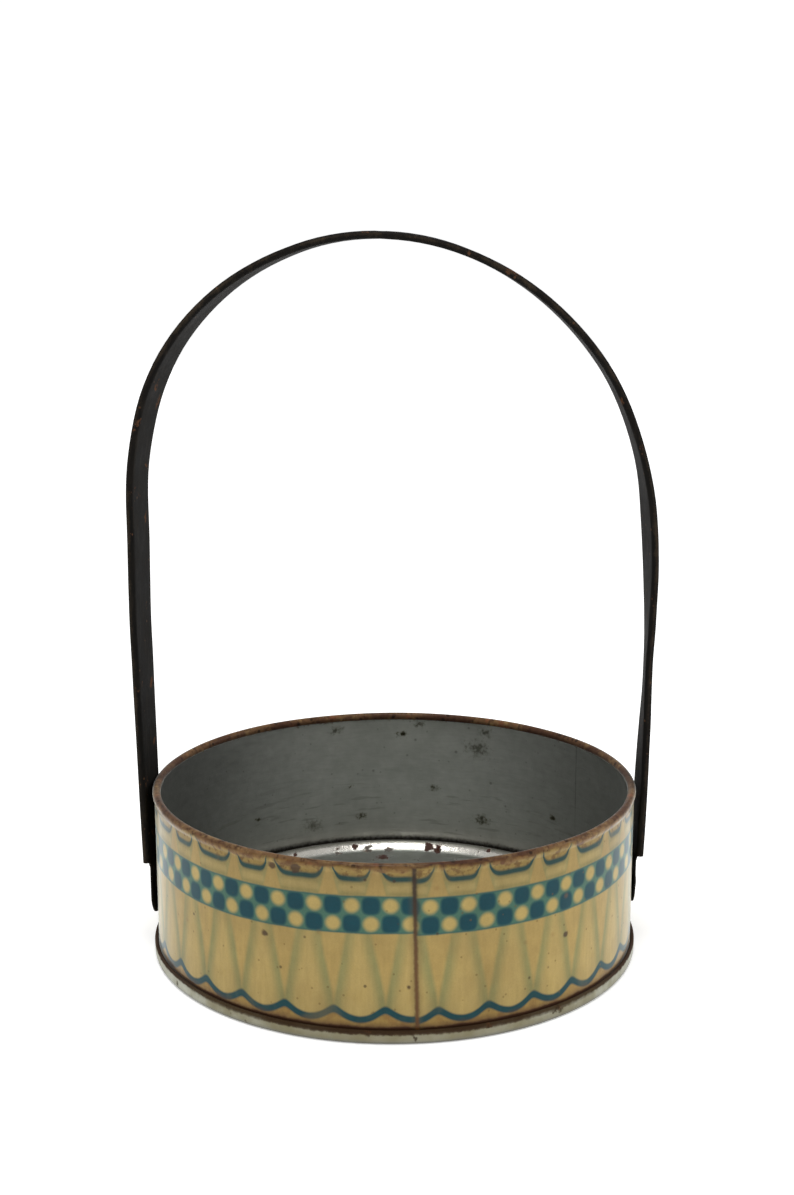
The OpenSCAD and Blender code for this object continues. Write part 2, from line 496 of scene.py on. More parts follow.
def square(across, row_z):
    wide = abs(across / square_wide) ** square_power
    high = abs((h - row_z) / square_high) ** square_power
    return (wide + high).below(1.0, 0.65)


upper_row = 29.3
lower_row = 25.45
band_low = 23.4
band_high = 31.35
band = h.between(band_low, band_high, 0.22)
dots = dot(from_dot, upper_row).math("MAXIMUM", dot(from_square, lower_row))
squares = square(from_square, upper_row).math("MAXIMUM", square(from_dot, lower_row))
band_colour = printed.colour(teal).over(squares, dark_teal).over(dots, dot_cream)
top_line = abs(h - 31.2).below(0.22, 0.18)
foot_line = abs(h - 23.55).below(0.22, 0.18)
edge_lines = top_line.math("MAXIMUM", foot_line)
band_colour = band_colour.over(edge_lines * (1.0 - dots) * 0.6, ink(52, 84, 80))
picture = picture.over(h.above(31.3, 0.4), ink(136, 122, 75))
picture = picture.over(band, band_colour)

# Brackets under the rim, a wide one and a narrow one in turn, with pale posts between them
bracket_start = -1.65
bracket_z = 34.85
wide_reach = 4.7
narrow_reach = 3.4
from_wide = abs((s - s.swing() * 2.0).cell(2 * petal, bracket_start)) * round_mm
from_narrow = petal * round_mm - from_wide
strokes = None
for across, reach in ((from_wide, wide_reach), (from_narrow, narrow_reach)):
    sag = (across / reach).math("MINIMUM", 1.15) ** 6.0 * 1.7
    stroke = abs(h - sag - bracket_z).below(0.58, 0.36) * across.below(reach + 0.45, 0.3)
    inside = (h - sag).above(35.0, 0.3) * across.below(reach - 0.2, 0.4)
    dash = h.between(32.2, 33.6, 0.5) * across.below(reach - 0.7, 0.6)
    parts = (stroke, inside, dash)
    strokes = parts if strokes is None else [a.math("MAXIMUM", b) for a, b in zip(strokes, parts)]
stroke, inside, dash = strokes
from_post = abs(from_wide - (wide_reach + petal * round_mm - narrow_reach) / 2)
flare = (36.0 - h) * 0.28 + 0.7
post = (flare - from_post).above(0.0, 0.3)
beside = (flare + 0.9 - from_post).above(0.0, 0.6) * (1.0 - post) * h.between(31.9, 34.6, 0.6)
top_zone = h.above(31.5, 0.15)
picture = picture.over(top_zone * beside * 0.2, ink(134, 144, 96))
picture = picture.over(top_zone * dash * 0.5, ink(172, 150, 94))
picture = picture.over(top_zone * post * 0.8, ink(163, 136, 80))
rusty = printed.cloud(1.6, 6, 3.0)
inside_tint = printed.colour(ink(140, 117, 64)).over(rusty.above(0.56, 0.08), ink(108, 82, 44))
picture = picture.over(inside, inside_tint)
picture = picture.over(stroke * 0.95, ink(14, 58, 58))

# Age: brown toning, rubbed patches, dirt, rust from the rim and the foot, specks and a few darker spots
veins = printed.cloud(0.8, 20, 3.0, stretch=(1, 1, 7)) - 0.5
picture = picture.shade(veins * (1.0 - band) * 0.30 + 1.0)
picture = picture.shade((mottle - 0.5) * 0.34 + (broad - 0.5) * 0.30 + (fine - 0.5) * 0.22 + 1.0)
toning = printed.cloud(14, 7, 4.0).above(0.60, 0.10) * (1.0 - band)
picture = picture.over(toning * 0.30, ink(140, 116, 68))
picture = picture.over(printed.specks(2.6, 8, 0.10, 0.03) * 0.45, ink(96, 74, 42))
picture = picture.over(printed.specks(8.0, 53, 0.06, 0.06) * 0.45, ink(122, 84, 48))
picture = picture.over(printed.specks(5.5, 9, 0.06, 0.03) * 0.7, ink(60, 44, 30))
rim_rust = (bare_h + (printed.cloud(4.5, 10, 4.0) - 0.5) * 6.0).above(36.9, 0.6)
rust_tint = printed.colour(ink(122, 88, 52)).over(rusty.above(0.5, 0.12), ink(92, 58, 36))
picture = picture.over(rim_rust * 0.75, rust_tint)
foot_edge = (printed.cloud(3.0, 11, 4.0) - 0.5) * 1.6
picture = picture.over((bare_h + foot_edge).below(4.0, 0.9) * 0.6, ink(88, 56, 34))
picture = picture.over((bare_h + foot_edge * 0.6).below(3.42, 0.35) * 0.9, ink(56, 34, 26))
dark_spots = (
    (40.8, 17.7, 0.62),
    (-29.2, 20.8, 0.62),
    (-21.5, 36.0, 1.1),
    (-27.0, 35.6, 0.8),
    (3, 12, 0.3),
)
for turn, spot_z, size in dark_spots:
    across = (printed.u - turn / 360 + 0.5).math("FRACT") - 0.5
    away = ((across * (360 * round_mm)) ** 2.0 + (bare_h - spot_z) ** 2.0).math("SQRT")
    blot = (away + (rusty - 0.5) * 1.4).below(size, 0.30)
    picture = picture.over(blot * 0.85, ink(62, 42, 30))

# The side seam's dark line, and the worn bead along the rim
lean = (1.0 - bare_h / (wall_high.z / mm)) * seam_lean[1] + seam_lean[0]
seam_off = abs(s - lean - drift * 0.5) * round_mm + (printed.cloud(0.9, 12, 2.0) - 0.5) * 0.35
seam_tint = printed.colour(ink(96, 64, 34)).over(bare_h.above(24.0, 9.0), ink(52, 38, 28))
picture = picture.over(seam_off.below(1.0, 0.7) * 0.35, ink(84, 72, 42))
picture = picture.over(seam_off.below(0.42, 0.30) * 0.92, seam_tint)
patches = printed.cloud(2.4, 13, 4.0)
bead_tint = printed.colour(ink(106, 80, 56)).over(patches.above(0.58, 0.10) * 0.8, ink(142, 116, 78))
bead_tint = bead_tint.over(printed.cloud(1.1, 14, 4.0).above(0.56, 0.08) * 0.75, ink(62, 44, 32))
bead_tint = bead_tint.over(printed.cloud(16.0, 15, 3.0).above(0.50, 0.08) * 0.75, ink(66, 43, 36))
bead_tint = bead_tint.over(printed.specks(2.4, 16, 0.20, 0.06) * 0.8, ink(40, 30, 25))
bead_tint = bead_tint.over(printed.cloud(3.4, 19, 4.0).above(0.64, 0.06) * 0.7, ink(120, 76, 54))
on_bead = (bare_h + (patches - 0.5) * 1.5).above(37.4, 0.35)
picture = picture.over(on_bead, bead_tint)
printed.set("Base Color", picture)
worn = on_bead.math("MAXIMUM", (bare_h + foot_edge * 0.7).below(3.35, 0.35))
printed.set("Roughness", worn * 0.18 + (fine - 0.5) * 0.22 + (mottle - 0.5) * 0.15 + 0.42)
printed.set("Specular IOR Level", 0.0)
printed.set("Coat Weight", (1.0 - worn * 0.8) * 0.7)
printed.set("Coat IOR", 1.33)
printed.set("Coat Roughness", 0.18)
printed.set("Sheen Weight", 0.55)
printed.set("Sheen Roughness", 0.28)
printed.set("Sheen Tint", (0.92, 1.0, 0.97, 1.0))
pits = printed.cloud(0.5, 17, 3.0) * 0.5 + printed.cloud(2.5, 18, 2.0) + rusty * on_bead * 0.8
printed.relief(pits - seam_off.below(0.4, 0.2) * 0.5, 0.05)

# The bare inner side: dull grey tin with stains, fine drawing lines and the rust spots of long use, with
# painted shade towards its left and right sides
inner = Finish("dull_tin")
turned_deg = inner.u * 360
inner_h = inner.v * (wall_length / mm) - print_offset / mm
stain = inner.cloud(9, 21, 5.0)
grain = inner.cloud(0.6, 22, 3.0, stretch=(6, 6, 1))
tin_tint = inner.colour(ink(188, 190, 185)).over(stain.above(0.52, 0.16) * 0.5, ink(166, 168, 162))
tin_tint = tin_tint.shade((grain - 0.5) * 0.28 + (inner.cloud(2.0, 23, 4.0) - 0.5) * 0.24 + 1.0)
tin_tint = tin_tint.over(inner_h.below(12.0, 9.0) * 0.2, ink(150, 145, 128))
# Painted shade: the inner wall is made darker towards its left and right sides, the left side more
tin_tint = tin_tint.shade((inner.x * -1.0).above(36.0, 16.0) * -0.66 + 1.0)
tin_tint = tin_tint.shade(inner.x.above(38.0, 16.0) * -0.48 + 1.0)
tin_tint = tin_tint.over(inner.specks(2.8, 24, 0.09, 0.03) * 0.28, ink(72, 68, 58))
tin_tint = tin_tint.over(inner.specks(6.0, 25, 0.06, 0.03) * 0.4, ink(56, 50, 38))
ragged = inner.cloud(0.9, 26, 5.0) - 0.5
# Each spot is (degrees round, height, size, depth), and is drawn out sideways
spot_squeeze = 0.62
spots = (
    (177.8, 32.2, 0.9, 0.95), (156.4, 29.7, 2.3, 0.45), (168.9, 18.1, 0.8, 0.8), (155.1, 10.8, 1.5, 0.7),
    (189.2, 10.2, 1.0, 0.7), (192.4, 18.3, 0.6, 0.9), (196.2, 33.9, 1.2, 0.5), (132.3, 15.6, 0.8, 0.8),
    (173.1, 34.9, 0.9, 0.6), (154.4, 34.1, 1.3, 0.5), (220.0, 13.6, 0.6, 0.9), (203.0, 9.0, 1.8, 0.4),
    (12.0, 22.0, 1.3, 0.6), (58.0, 14.0, 1.6, 0.5), (300.0, 27.0, 1.2, 0.6), (334.0, 11.0, 2.0, 0.5),
)
for turn, spot_z, size, depth in spots:
    across = (turned_deg - turn) * round_mm
    away = ((across * spot_squeeze) ** 2.0 + (inner_h - spot_z) ** 2.0).math("SQRT") / size
    blot = (away + ragged * 3.4).below(0.65, 0.60) * (away * 0.45).below(0.85, 0.35)
    tin_tint = tin_tint.over(blot * depth, ink(84, 81, 54))
    tin_tint = tin_tint.over((away + ragged * 2.4).below(0.3, 0.35) * depth, ink(48, 45, 33))
scratches = inner.cloud(1.1, 28, 3.0, stretch=(9, 9, 1)).above(0.63, 0.04) * inner_h.below(20.0, 9.0)
tin_tint = tin_tint.over(scratches * 0.3, ink(104, 103, 92))
# Painted shade of a faint crease: a thin dark line down the upper inner wall, with no fold in the sheet
crease_turn = 124.0
crease_shade = (abs(turned_deg - crease_turn) * round_mm).below(0.18, 0.12) * inner_h.above(18.0, 5.0)
tin_tint = tin_tint.over(crease_shade * 0.35, ink(70, 70, 66))
tin_tint = tin_tint.over((inner_h + ragged * 3.0).above(36.3, 0.5) * 0.8, ink(112, 88, 60))
tin_tint = tin_tint.over((inner_h + ragged * 1.4).below(4.5, 0.8) * 0.93, ink(46, 39, 30))
inner.set("Base Color", tin_tint)
inner.set("Metallic", 0.85)
inner.set("Roughness", (stain - 0.5) * 0.25 + (grain - 0.5) * 0.15 + 0.46)
inner.relief(grain * 0.5 + inner.cloud(1.4, 27, 3.0), 0.03)

wall = sheet_piece(
    "printed_wall",
    [(wall_rows, True, 0), (fold_rows, False, 1)],
    tin,
    [printed.material, inner.material, inner.material],
    back=1,
)
wall_hole = 1.27 * mm
drill(wall, wall_hole)
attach(wall, "basket")
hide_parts("body_wall")

# ----------------------------------------------------------------------------------------------------
# The base
# A stamped disc of bare tinplate. A raised bead near its edge stiffens it, and its edge wraps round the
# wall's hook in a double seam, which makes the bright ring that the basket stands on.

base_side = fold_radius - 2 * layer
panel_z = 2.75 * mm
bead_rise = 1.75 * mm
bead_slope = 3.4 * mm
bead_shoulder = 3.2 * mm
crest_radius = base_side - bead_shoulder
crest_z = panel_z + bead_rise
shoulder_foot = (turn_z + panel_z) / 2
seam_top = 2.46 * mm
bead_steps = 12
base_path = line((0, panel_z), (crest_radius - bead_slope, panel_z), 26)
for i in range(bead_steps + 1):
    share = i / bead_steps
    rise = bead_rise * (1 - math.cos(math.pi * share)) / 2
    base_path.append(Vector((crest_radius - bead_slope * (1 - share), panel_z + rise)))
for i in range(1, bead_steps + 1):
    turn = math.radians(90 * i / bead_steps)
    fall_r = crest_radius + bead_shoulder * math.sin(turn)
    base_path.append(Vector((fall_r, shoulder_foot + (crest_z - shoulder_foot) * math.cos(turn))))
base_path += arc((fold_radius, turn_z), 2 * layer, -180, 0, 15)
base_path += line((fold_radius + 2 * layer, turn_z + 0.3 * mm), (fold_radius + 2 * layer, seam_top), 5)
base_path += arc((fold_radius + layer, seam_top), layer, 0, 180, 20)
base_path += [Vector((fold_radius, seam_top - s * 0.3 * mm)) for s in range(1, 5)]
base_along = along(base_path)
base_turns = 240
panel_sag = 0.12 * mm
panel_buckle = 0.16 * mm
buckle_size = 18 * mm
flat_from = 30 * mm
flat_over = 17 * mm
bead_wave = 0.05 * mm
wave_from = 44 * mm
wave_over = 4 * mm


def base_point(turns, path_index):
    """A point on the base's middle surface. The panel is buckled a little, and the ring is uneven."""
    r, z = base_path[path_index]
    out = heading(turns)
    if r > crest_radius:
        r += ring_wave(out) * ease((r - crest_radius) / bead_shoulder)
    inside = 1 - ease((r - flat_from) / flat_over)
    buckle = noise.noise(out * (r / buckle_size) + Vector((2, 5, 1)))
    z += inside * (panel_buckle * buckle - panel_sag)
    if r < base_side:
        wave = noise.noise(out * 2.0 + Vector((8, 1, 6)))
        z += bead_wave * wave * ease((r - wave_from) / wave_over)
    return (r * out.x, r * out.y, z, turns, base_along[path_index] / base_along[-1])


base_rows = [[base_point(i / base_turns, k) for k in range(len(base_path))] for i in range(base_turns)]

# Tin that is bright on the bead and the ring, grey on the panel and rusty in the crevices
plate = Finish("bright_tin")
across_r = (plate.x ** 2.0 + plate.y ** 2.0).math("SQRT")
blotch = plate.cloud(7, 31, 5.0)
small = plate.cloud(1.2, 32, 4.0)
drawn = plate.cloud(0.5, 33, 3.0)
ring_from = 53.9
crown_from = 47.6
crown_to = 52.6
on_ring = across_r.above(ring_from, 0.15)
on_crown = across_r.between(crown_from, crown_to, 1.0) * (1.0 - on_ring)
plate_tint = plate.colour(ink(170, 173, 168)).over(blotch.above(0.5, 0.14) * 0.6, ink(144, 146, 137))
plate_tint = plate_tint.over(on_crown * small.below(0.66, 0.06), ink(186, 183, 175))
ring_tint = plate.colour(ink(170, 171, 158)).over(blotch.above(0.5, 0.14), ink(146, 144, 124))
plate_tint = plate_tint.over(on_ring, ring_tint)
plate_tint = plate_tint.shade((drawn - 0.5) * 0.12 + (small - 0.5) * 0.16 + 1.0)
crevice_from = 51.9
crevice = (across_r + (small - 0.5) * 1.2).above(crevice_from, 0.4) * (1.0 - on_ring)
plate_tint = plate_tint.over(crevice * 0.9, ink(50, 40, 30))
ring_high = plate.z + (small - 0.5) * 0.9
groove_from = 2.4
groove = ring_high.above(groove_from, 0.25) * on_ring
plate_tint = plate_tint.over(groove * 0.93, ink(56, 36, 28))
# The ring is made darker on its front side, and darker still along its groove there
front_darker = (plate.y * -1.0 + (blotch - 0.5) * 30).above(40.0, 14.0) * on_ring
plate_tint = plate_tint.over(front_darker * 0.7, ink(112, 104, 76))
plate_tint = plate_tint.over(front_darker * ring_high.above(2.0, 0.25) * 0.9, ink(52, 35, 24))
# Painted shade: the ring is made a darker grey along its lowest edge
ring_foot_shade = (plate.z + (small - 0.5) * 0.5).below(0.75, 0.35) * on_ring
plate_tint = plate_tint.over(ring_foot_shade * 0.5, ink(112, 113, 108))
rust_mask = (plate.cloud(3.6, 34, 5.0) + (small - 0.5) * 0.3).above(0.66, 0.04)
rust_tint = plate.colour(ink(92, 62, 40)).over(small.above(0.5, 0.1), ink(52, 40, 30))
plate_tint = plate_tint.over(rust_mask * 0.75, rust_tint)

# Each chip is (distance from the middle, degrees round, size)
chips = (
    (48.6, 192.0, 0.8), (48.4, 169.5, 1.2), (47.6, 166.6, 1.0), (43.0, 184.0, 1.5), (49.5, 151.0, 0.7),
    (48.8, 211.0, 0.6), (36.0, 95.0, 1.8), (44.0, 300.0, 1.4), (49.2, 20.0, 0.9), (22.0, 140.0, 1.5),
)
chipped = None
for chip_r, turn, size in chips:
    spot = heading(turn / 360) * chip_r
    away = ((plate.x - spot.x) ** 2.0 + ((plate.y - spot.y) * 0.8) ** 2.0).math("SQRT") / size
    blot = (away + (small - 0.5) * 2.6).below(0.85, 0.25) * (away * 0.5).below(0.9, 0.3)
    chipped = blot if chipped is None else chipped.math("MAXIMUM", blot)
plate_tint = plate_tint.over(chipped * 0.93, ink(64, 32, 22))
plate.set("Base Color", plate_tint)
dull = crevice.math("MAXIMUM", rust_mask).math("MAXIMUM", groove).math("MAXIMUM", chipped)
plate.set("Metallic", 0.95 - dull * 0.92)
plate.set("Specular IOR Level", 0.0)
plate.set("Roughness", dull * 0.3 + (blotch - 0.5) * 0.2 + (small - 0.5) * 0.16 - on_crown * 0.17 + 0.38)
plate.relief(small + drawn * 0.4 + dull * 0.6, 0.035)

base = sheet_piece("tin_base", [(base_rows, True, 0)], tin, [plate.material], back=0)
fix_shape(base)
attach(base, "basket")
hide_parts("base_pan")

# ----------------------------------------------------------------------------------------------------
# The handle
# One strip of tinplate with both long edges folded over to the outside, bent to an arch and painted near
# black. Each end is left flat as a round-ended tab, set in by a small bend, with a hole for its rivet.

strap_low, strap_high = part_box("handle_strap")
strap_tin = 0.35 * mm
strap_thick = 1.6 * mm
strap_half = (strap_high.y - strap_low.y) / 2
lip_half = 1.5 * mm
hem = (strap_thick - strap_tin) / 2
leg_lean = math.radians(1.5)
strap_gap = 0.2 * mm
strap_in = rim_radius + strap_gap
tab_in = rim_radius - strap_gap
tab_half = 5.0 * mm
design_fold_z = pivot_z + 7.0 * mm
top_z = strap_high.z - strap_thick
arch_in = (strap_in + math.tan(leg_lean) * (top_z - design_fold_z)) / (
    math.cos(leg_lean) + math.tan(leg_lean) * (1 + math.sin(leg_lean))
)
arch_z = top_z - arch_in

# Use has bent it: the arch leans to one side, the legs are twisted a little, the two ends don't match
fold_z = {-1: 19.9 * mm, 1: 21.2 * mm}
tab_low = {-1: 6.5 * mm, 1: 8.7 * mm}
tab_lift = {-1: 0.40 * mm, 1: 0.22 * mm}
tab_twist = {-1: -4.5, 1: 0.0}
arch_lean = 3.8 * mm
lean_from = 84
lean_over = 76
push_fades = 20 * mm


def blend_of(places, z):
    """The value at height z, smoothly between (height, value) places."""
    heights, values = [list(column) for column in zip(*places)]
    slopes = np.gradient(values, heights)
    z = min(max(z, heights[0]), heights[-1])
    k = min(int(np.searchsorted(heights, z, side="right")), len(heights) - 1) - 1
    gap = heights[k + 1] - heights[k]
    t = (z - heights[k]) / gap
    from_low = values[k] + slopes[k] * gap * t
    from_high = values[k + 1] - slopes[k + 1] * gap * (1 - t)
    return float(from_low + (from_high - from_low) * ease(t))


# Twist in degrees, and outward push in millimetres, by height in millimetres on the left and right leg
twist = {
    -1: (
        (20, -8.0), (45, -9.5), (70, -10.5), (105, -11.0), (135, -10.0), (150, -5.0), (160, 0.0),
    ),
    1: (
        (20, 0.0), (38, 0.0), (50, 2.5), (62, 5.5), (75, 2.0), (92, -4.3), (110, -1.5), (135, -1.0),
        (160, 0.0),
    ),
}
push = {
    -1: (
        (20, 0.0), (45, -0.2), (65, -0.4), (82, -0.7), (95, -1.4), (108, -2.1), (125, -2.15),
        (134, -1.95), (143, -1.8), (160, -1.15),
    ),
    1: (
        (20, 0.1), (45, 0.3), (65, 0.3), (80, 0.0), (92, -0.6), (108, -1.5), (130, -1.2),
        (150, -0.95), (160, -0.6),
    ),
}


def used(x, z):
    """Where a point of the inner face has moved to."""
    side = -1 if x < 0 else 1
    high = z / mm
    out = blend_of(push[side], high) * mm * min(1.0, abs(x) / push_fades)
    lean = -arch_lean * ease((high - lean_from) / lean_over)
    return Vector((x + side * out + lean, z))


arch_steps = 72
arch_span = math.pi + 2 * leg_lean
arch_turns = [math.pi + leg_lean - arch_span * i / arch_steps for i in range(arch_steps + 1)]
arch_line = [Vector((arch_in * math.cos(t), arch_z + arch_in * math.sin(t))) for t in arch_turns]


def leg_line(side):
    """The inner face of a straight leg, from the end of its folds up to the arch."""
    top = arch_line[0] if side < 0 else arch_line[-1]
    low_z = fold_z[side]
    low_x = side * (strap_in + math.tan(leg_lean) * (low_z - design_fold_z))
    return line((low_x, low_z), top, 44)


inner_line = leg_line(-1) + arch_line + leg_line(1)[::-1]
inner_line = [used(*p) for p in inner_line]
line_sides = [-1 if i < len(inner_line) / 2 else 1 for i in range(len(inner_line))]
twists = [blend_of(twist[side], p.y / mm) for side, p in zip(line_sides, inner_line)]

# The folded section, as (across, out) from the middle of the inner face
web_half = strap_half - strap_thick / 2
lip_waver = 0.10 * mm
edge_waver = 0.03
map_length = 500
lip = [Vector((-lip_half - (web_half - lip_half) * i / 4, strap_thick - strap_tin / 2)) for i in range(4)]
turn_under = arc((-web_half, strap_thick / 2), hem, 90, 270, 22.5)
web = [Vector((-web_half + 2 * web_half * i / 14, strap_tin / 2)) for i in range(1, 14)]
half_section = lip + turn_under
section = half_section + web + [Vector((-p.x, p.y)) for p in half_section[::-1]]
section_along = along(section)
web_columns = range(len(half_section) - 1, len(half_section) + len(web) + 1)


def strap_row(spot, way, twist_deg, spread, lift, run):
    """One row of points across the strap. way is the direction that the strap runs in."""
    out = Vector((-way.y, way.x))
    turn = math.radians(twist_deg)
    row = []
    for k, (across, height) in enumerate(section):
        if spread is not None and k not in web_columns:
            row.append(None)
            continue
        if spread is not None:
            across *= spread / web_half
        if height > strap_thick / 2:
            if abs(across) < web_half:
                height += lip_waver * noise.noise(Vector((run * 0.06, across * 900, 4)))
            across *= 1 + edge_waver * noise.noise(Vector((run * 0.05, 2 if across > 0 else 7, 1)))
        level = height - strap_thick / 2
        shifted = across * math.cos(turn) - level * math.sin(turn)
        level = strap_thick / 2 + across * math.sin(turn) + level * math.cos(turn) + lift
        place = spot + out * level
        row.append((place.x, shifted, place.y, section_along[k] / section_along[-1], run / map_length))
    return row


tip_turns = (86, 78, 68, 58, 48, 38, 28, 18, 9, 0)
tab_bend = 1.4 * mm
tab_run = 20


def tab_rows(side):
    """The flat tab, from its round tip up to the end of the folds."""
    tip = tab_low[side]
    top = inner_line[0] if side < 0 else inner_line[-1]
    stops = []
    for t in map(math.radians, tip_turns):
        stops.append((tip + tab_half * (1 - math.sin(t)), tab_half * math.cos(t)))
    flat_top = fold_z[side] - tab_bend
    stops += [(tip + tab_half + (flat_top - tip - tab_half) * i / 8, tab_half) for i in range(1, 9)]
    stops += [(flat_top + tab_bend * i / 5, tab_half) for i in range(1, 5)]
    rows = []
    for z, spread in stops:
        bend = ease((z - flat_top) / tab_bend)
        x = side * (tab_in + (abs(top.x) - tab_in) * bend)
        lift = tab_lift[side] * (1 - bend) * (0.6 + 0.4 * ease((z - tip) / (6 * mm)))
        angle = tab_twist[side] + (twists[0 if side < 0 else -1] - tab_twist[side]) * bend
        way = Vector((0, -side))
        run = z / mm + side * tab_run
        rows.append(strap_row(Vector((x, z)), way, angle, spread, lift, run))
    return rows


strap_rows = tab_rows(-1)
run = 0.0
for i, spot in enumerate(inner_line):
    before = inner_line[max(0, i - 1)]
    after = inner_line[min(len(inner_line) - 1, i + 1)]
    run += (spot - before).length / mm
    strap_rows.append(strap_row(spot, (after - before).normalized(), twists[i], None, 0.0, run))
strap_rows += tab_rows(1)[::-1]

# Near-black paint, brown where it is thin, rubbed along the folded edges, with a few spots of rust
japan = Finish("black_japan")
rub = japan.cloud(5.5, 41, 4.0)
dust = japan.cloud(0.5, 42, 3.0)
streak = japan.cloud(1.2, 43, 4.0, stretch=(1, 1, 7))
paint_tint = japan.colour(ink(21, 20, 19)).over(rub.above(0.54, 0.14) * 0.6, ink(30, 27, 24))
paint_tint = paint_tint.over(streak.above(0.61, 0.10) * 0.4, ink(44, 39, 33))
hem_share = (strap_half - lip_half) / section_along[-1]
from_hem = abs(abs(japan.u - 0.5) - (0.5 - hem_share))
edge_wear = (from_hem + (dust - 0.5) * 0.05 + (rub - 0.5) * 0.10).below(0.0, 0.02)
paint_tint = paint_tint.over(edge_wear * 0.4, ink(78, 66, 52))
paint_tint = paint_tint.over(japan.specks(3.2, 44, 0.08, 0.03) * 0.6, ink(92, 66, 46))
rusted = (japan.cloud(4.5, 45, 5.0) + (dust - 0.5) * 0.2).above(0.69, 0.03)
paint_tint = paint_tint.over(rusted * 0.7, ink(96, 66, 46))
from_rivet = (japan.y ** 2.0 + (japan.z - pivot_z / mm) ** 2.0).math("SQRT")
paint_tint = paint_tint.over((from_rivet + (rub - 0.5) * 3.0).below(1.7, 0.9) * 0.55, ink(96, 82, 64))
paint_tint = paint_tint.shade((dust - 0.5) * 0.3 + 1.0)
japan.set("Base Color", paint_tint)
japan.set("Roughness", (rub - 0.5) * 0.3 + (dust - 0.5) * 0.2 + rusted * 0.2 + 0.68)
japan.set("Specular IOR Level", 0.04)
japan.relief(dust * 0.5 + japan.cloud(1.8, 46, 3.0), 0.05)

strap = sheet_piece("folded_strap", [(strap_rows, False, 0)], strap_tin, [japan.material], back=0)
strap_hole = 1.30 * mm
drill(strap, strap_hole)
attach(strap, "handle")
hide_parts("handle_strap")

# ----------------------------------------------------------------------------------------------------
# The rivets
# One through each tab and the wall. The domed head outside is painted with the handle, and the bare end
# inside is clinched over, a little out of true from the hammer.

shank = 1.25 * mm
head_half = 2.5 * mm
head_rise = 0.7 * mm
clinch_half = 2.0 * mm
clinch_rise = 0.8 * mm
rivet_gap = 0.05 * mm
clinch_at = math.sqrt((wall_radius - tin / 2) ** 2 - clinch_half ** 2) - rivet_gap
head_at = tab_in + strap_tin + rivet_gap
head_lift = {-1: 0.12 * mm, 1: 0.0}
knock_share = 0.03
dent_depth = 0.03 * mm
rivet_sides = 48
head_crisp = math.radians(50)


def rivet_profile(out):
    """The rivet from the crown of its head to the crown of its clinched end, as (along, from the axis)."""
    points = []
    for a in range(0, 91, 10):
        t = math.radians(a)
        points.append((head_at + out + head_rise * math.cos(t) ** 0.9, head_half * math.sin(t)))
    points += [(head_at + out, head_half * 0.96), (head_at + out, shank), (clinch_at, shank)]
    points += [(clinch_at, clinch_half * 0.95)]
    for a in range(80, -1, -10):
        t = math.radians(a)
        points.append((clinch_at - clinch_rise * math.cos(t) ** 0.8, clinch_half * math.sin(t)))
    return points


clinched = Finish("clinched_tin")
knocks = clinched.cloud(0.8, 51, 4.0)
end_tint = clinched.colour(ink(128, 128, 122)).over(knocks.above(0.52, 0.1), ink(92, 84, 70))
clinched.set("Base Color", end_tint.over(clinched.cloud(1.6, 52, 4.0).above(0.60, 0.05), ink(74, 50, 34)))
clinched.set("Metallic", 0.8)
clinched.set("Roughness", (knocks - 0.5) * 0.4 + 0.45)
clinched.relief(knocks, 0.08)

for name, node, side in (("rivet_l", "rivet_left", -1), ("rivet_r", "rivet_right", 1)):
    profile = rivet_profile(tab_lift[side] + head_lift[side])
    mesh = bmesh.new()
    rings = []
    for along_axis, radius in profile:
        ring = []
        for i in range(rivet_sides):
            t = 2 * math.pi * i / rivet_sides
            way = Vector((math.cos(t), math.sin(t), 0))
            knock = noise.noise(way + Vector((0, 0, along_axis * 900 + side)))
            dent = noise.noise(way * (radius * 900) + Vector((0, 0, side * 5)))
            off = radius
            if radius > shank * 1.1:
                off = radius * (1 + knock_share * knock)
            if radius != shank:
                x = side * (along_axis + dent_depth * dent)
            else:
                x = side * along_axis
            ring.append(mesh.verts.new((x, off * math.cos(t), pivot_z + off * math.sin(t))))
        rings.append(ring)
    for k, (a, b) in enumerate(zip(rings, rings[1:])):
        for i in range(rivet_sides):
            j = (i + 1) % rivet_sides
            face = mesh.faces.new((a[i], a[j], b[j], b[i]))
            face.smooth = True
            face.material_index = 1 if profile[k][0] <= clinch_at else 0
    bmesh.ops.remove_doubles(mesh, verts=mesh.verts, dist=weld_gap)
    bmesh.ops.recalc_face_normals(mesh, faces=mesh.faces)
    data = bpy.data.meshes.new(name)
    mesh.to_mesh(data)
    mesh.free()
    data.set_sharp_from_angle(angle=head_crisp)
    data.materials.append(japan.material)
    data.materials.append(clinched.material)
    rivet = bpy.data.objects.new(name, data)
    bpy.context.scene.collection.objects.link(rivet)
    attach(rivet, "basket")
    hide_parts(node)

# ----------------------------------------------------------------------------------------------------
# The table, the light and the camera
# A plain near-white table top in a white studio that lights it softly from all round. One wide lamp hangs
# above, and a weaker one stands on the right.

table_radius = 1.6
floor_mesh = bmesh.new()
bmesh.ops.create_circle(floor_mesh, cap_ends=True, segments=96, radius=table_radius)
floor_data = bpy.data.meshes.new("table_top")
floor_mesh.to_mesh(floor_data)
floor_mesh.free()
table_top = bpy.data.objects.new("table_top", floor_data)
bpy.context.scene.collection.objects.link(table_top)
surface = Finish("white_table")
faint = (surface.cloud(40, 61, 2.0) - 0.5) * 0.01
surface.set("Base Color", surface.colour(ink(252, 252, 252)).shade(faint + 1.0))
surface.set("Roughness", 0.9)
surface.set("Specular IOR Level", 0.0)
surface.set("Emission Color", (1, 1, 1, 1))
from_middle = (surface.x ** 2.0 + surface.y ** 2.0).math("SQRT")
surface.set("Emission Strength", from_middle.above(600.0, 550.0) * 0.24 + 0.26)
floor_data.materials.append(surface.material)

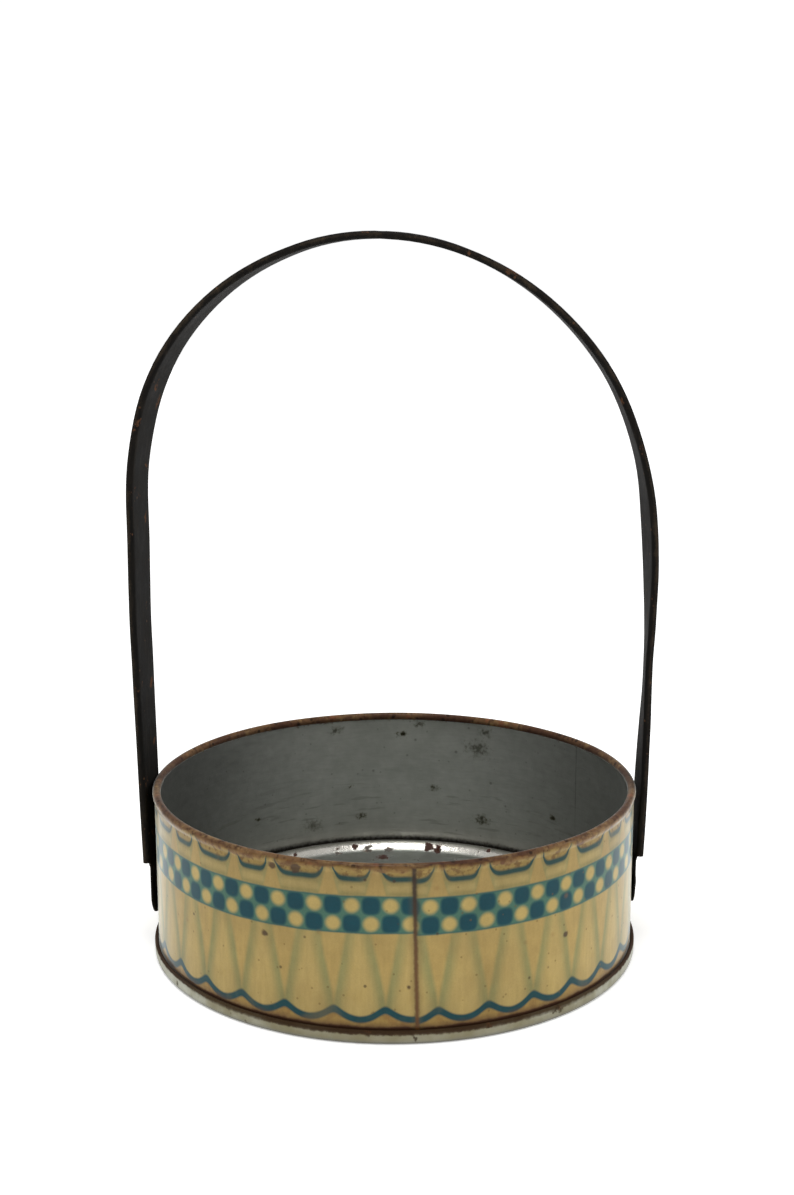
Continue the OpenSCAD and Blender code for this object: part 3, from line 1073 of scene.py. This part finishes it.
scene = bpy.context.scene
scene.view_settings.view_transform = "Standard"
world = bpy.data.worlds.new("studio")
world.use_nodes = True
studio = world.node_tree
lit = studio.nodes["Background"]
facing = studio.nodes.new("ShaderNodeTexCoord")
parts = studio.nodes.new("ShaderNodeSeparateXYZ")
studio.links.new(facing.outputs["Generated"], parts.inputs[0])
# The room is darker in front and low down. What shows behind the table is plain white.
room_light = 0.84
white_behind = 1.02
in_front = (Field(parts.outputs[1]) * -1.0).above(0.35, 0.45)
low_down = Field(parts.outputs[2]).below(0.62, 0.25)
seen = studio.nodes.new("ShaderNodeLightPath")
shown = Field(seen.outputs["Is Camera Ray"])
strength = (1.0 - in_front * low_down * 0.75) * room_light
studio.links.new(strength.math("MAXIMUM", shown * white_behind).socket, lit.inputs["Strength"])
lit.inputs["Color"].default_value = (1, 1, 1, 1)
scene.world = world

# Each lamp is (name, place, width, power), and they all aim at the basket's middle
lamps = (
    ("lamp_above", (-0.04, -0.10, 0.85), 0.34, 3.2),
    ("lamp_right", (0.8, 0.15, 0.45), 0.5, 1.6),
)
aim = Vector((0, 0, 0.02))
for lamp_name, spot, size, power in lamps:
    lamp_data = bpy.data.lights.new(lamp_name, "AREA")
    lamp_data.shape = "DISK"
    lamp_data.size = size
    lamp_data.energy = power
    lamp = bpy.data.objects.new(lamp_name, lamp_data)
    lamp.location = spot
    lamp.rotation_euler = (aim - Vector(spot)).to_track_quat("-Z", "Y").to_euler()
    scene.collection.objects.link(lamp)

# The camera stands in front, level with the top of the arch, and looks down a little
camera_data = bpy.data.cameras.new("camera")
camera_data.lens = 52.71
camera_data.sensor_width = 36
camera_data.clip_start = 0.01
camera = bpy.data.objects.new("camera", camera_data)
camera.matrix_world = (
    Matrix.Translation((0, -0.378, 0.1625))
    @ Matrix.Rotation(math.radians(-0.109), 4, "Z")
    @ Matrix.Rotation(math.radians(77.664), 4, "X")
    @ Matrix.Rotation(math.radians(-0.12), 4, "Z")
)
scene.collection.objects.link(camera)
scene.camera = camera
